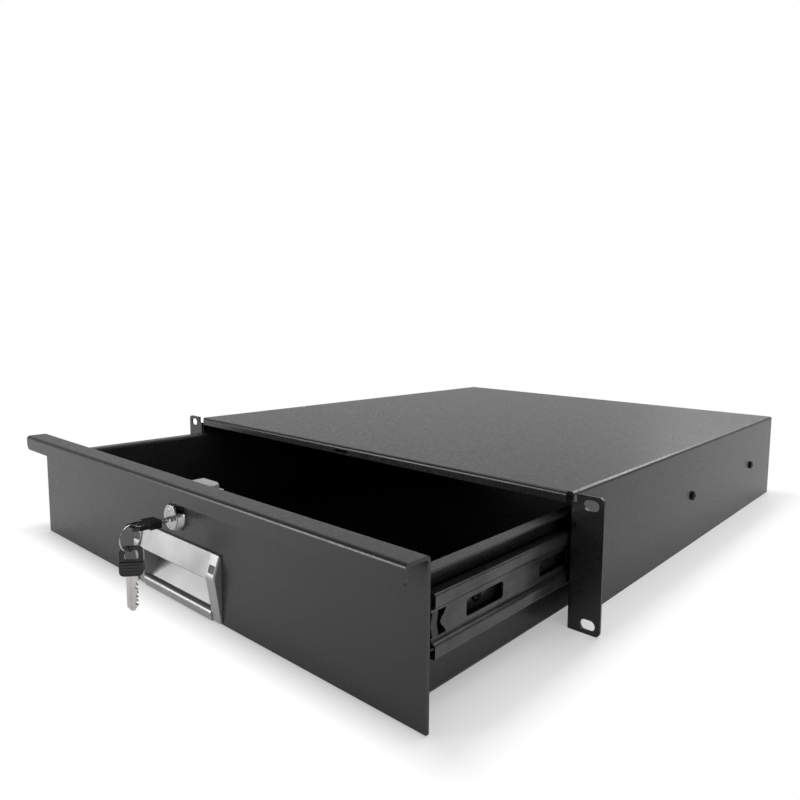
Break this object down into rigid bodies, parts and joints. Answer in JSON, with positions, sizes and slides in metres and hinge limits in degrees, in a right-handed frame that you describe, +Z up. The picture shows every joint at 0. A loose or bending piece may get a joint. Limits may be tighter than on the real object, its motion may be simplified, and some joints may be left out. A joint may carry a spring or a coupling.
{
  "type": "lockable sliding rack drawer",
  "caption": "Two-unit steel rack drawer on three-part ball slides, with recessed pull handle, cam lock with hanging keys, and open-bottom housing with slotted ears.",
  "frame": {"origin": "centre of the four rack slots, on the rear faces of the two mounting ears", "axes": "+X to the right for someone facing the front, +Y back into the rack, +Z up"},
  "size_m": [0.4826, 0.6297, 0.0882],
  "materials": {
    "powder_coat": "fine orange-peel powder coat, satin",
    "slide_steel": "black zinc-plated cold-rolled steel",
    "zinc": "bright zinc plating",
    "black_zinc": "black zinc plating",
    "ball_steel": "polished bearing steel",
    "cage_steel": "zinc-plated strip",
    "buffer_plastic": "moulded plastic, satin",
    "plug_chrome": "dark bright plating",
    "handle_aluminium": "satin silver",
    "lock_chrome": "bright chrome plating",
    "lock_zinc": "zinc die casting",
    "key_nickel": "nickel plating",
    "key_plastic": "moulded, ridged"
  },
  "bodies": {
    "housing": {"housing_cover": "powder_coat", "housing_rear_panel": "powder_coat", "slide_mounting_screws": "zinc", "slide_outer_left": "slide_steel", "slide_outer_right": "slide_steel"},
    "middle_left": {"slide_middle_left": "slide_steel"},
    "middle_right": {"slide_middle_right": "slide_steel"},
    "outer_cage_left": {"outer_ball_cage_left": "cage_steel", "outer_balls_left": "ball_steel"},
    "outer_cage_right": {"outer_ball_cage_right": "cage_steel", "outer_balls_right": "ball_steel"},
    "inner_cage_left": {"inner_ball_cage_left": "cage_steel", "inner_balls_left": "ball_steel"},
    "inner_cage_right": {"inner_ball_cage_right": "cage_steel", "inner_balls_right": "ball_steel"},
    "lock_plug_and_key": {"lock_plug": "lock_chrome", "key_blade": "key_nickel", "key_bow": "key_plastic"},
    "lock_bolt_body": {"lock_bolt": "lock_zinc"},
    "ring": {"key_ring": "key_nickel"},
    "spare_key": {"spare_key_blade": "key_nickel", "spare_key_bow": "key_plastic"},
    "drawer": {"drawer_back_wall": "powder_coat", "drawer_front_wall": "powder_coat", "drawer_tray": "powder_coat", "front_panel": "powder_coat", "handle_cap_left": "handle_aluminium", "handle_cap_plugs": "plug_chrome", "handle_cap_right": "handle_aluminium", "handle_screws": "zinc", "handle_shell": "handle_aluminium", "lock_body": "lock_chrome", "lock_case": "lock_zinc", "lock_case_cover": "lock_zinc", "lock_case_screws": "zinc", "lock_nut": "lock_chrome", "lock_trim_ring": "lock_chrome", "panel_nuts": "zinc", "slide_buffer_left": "buffer_plastic", "slide_buffer_right": "buffer_plastic", "slide_drawer_screws": "black_zinc", "slide_inner_left": "slide_steel", "slide_inner_right": "slide_steel"}
  },
  "joints": [
    {"name": "slide_stage_1", "type": "slide", "parent": "housing", "child": "middle_left", "axis": [0, -1, 0], "range_m": [-0.1375, 0.0625]},
    {"name": "slide_stage_2", "type": "slide", "parent": "middle_left", "child": "drawer", "axis": [0, -1, 0], "range_m": [0, 0.2]},
    {"name": "slide_stage_1_right", "type": "slide", "parent": "housing", "child": "middle_right", "axis": [0, -1, 0], "range_m": [-0.1375, 0.0625]},
    {"name": "outer_cage_left_roll", "type": "slide", "parent": "housing", "child": "outer_cage_left", "axis": [0, -1, 0], "range_m": [-0.06875, 0.03125]},
    {"name": "outer_cage_right_roll", "type": "slide", "parent": "housing", "child": "outer_cage_right", "axis": [0, -1, 0], "range_m": [-0.06875, 0.03125]},
    {"name": "inner_cage_left_roll", "type": "slide", "parent": "middle_left", "child": "inner_cage_left", "axis": [0, -1, 0], "range_m": [0, 0.1]},
    {"name": "inner_cage_right_roll", "type": "slide", "parent": "middle_right", "child": "inner_cage_right", "axis": [0, -1, 0], "range_m": [0, 0.1]},
    {"name": "lock_turn", "type": "hinge", "parent": "drawer", "child": "lock_plug_and_key", "pos_m": [0, -0.1474, 0.0148], "axis": [0, -1, 0], "range_deg": [0, 90]},
    {"name": "bolt_lift", "type": "slide", "parent": "drawer", "child": "lock_bolt_body", "axis": [0, 0, 1], "range_m": [0, 0.0056]},
    {"name": "ring_swing", "type": "hinge", "parent": "lock_plug_and_key", "child": "ring", "pos_m": [-0.001, -0.1726, 0.0148], "axis": [-0.9455, -0.3256, 0], "range_deg": [-8, 12]},
    {"name": "spare_key_swing", "type": "hinge", "parent": "ring", "child": "spare_key", "pos_m": [-0.001, -0.1726, 0.00209], "axis": [0.6428, 0.766, 0], "range_deg": [-12, 12]}
  ],
  "couplings": [
    {"joint": "slide_stage_1_right", "follows": "slide_stage_1", "ratio": 1},
    {"joint": "outer_cage_left_roll", "follows": "slide_stage_1", "ratio": 0.5},
    {"joint": "outer_cage_right_roll", "follows": "slide_stage_1", "ratio": 0.5},
    {"joint": "inner_cage_left_roll", "follows": "slide_stage_2", "ratio": 0.5},
    {"joint": "inner_cage_right_roll", "follows": "slide_stage_2", "ratio": 0.5},
    {"joint": "lock_turn", "follows": "bolt_lift", "rad_per_m": 280.5}
  ]
}
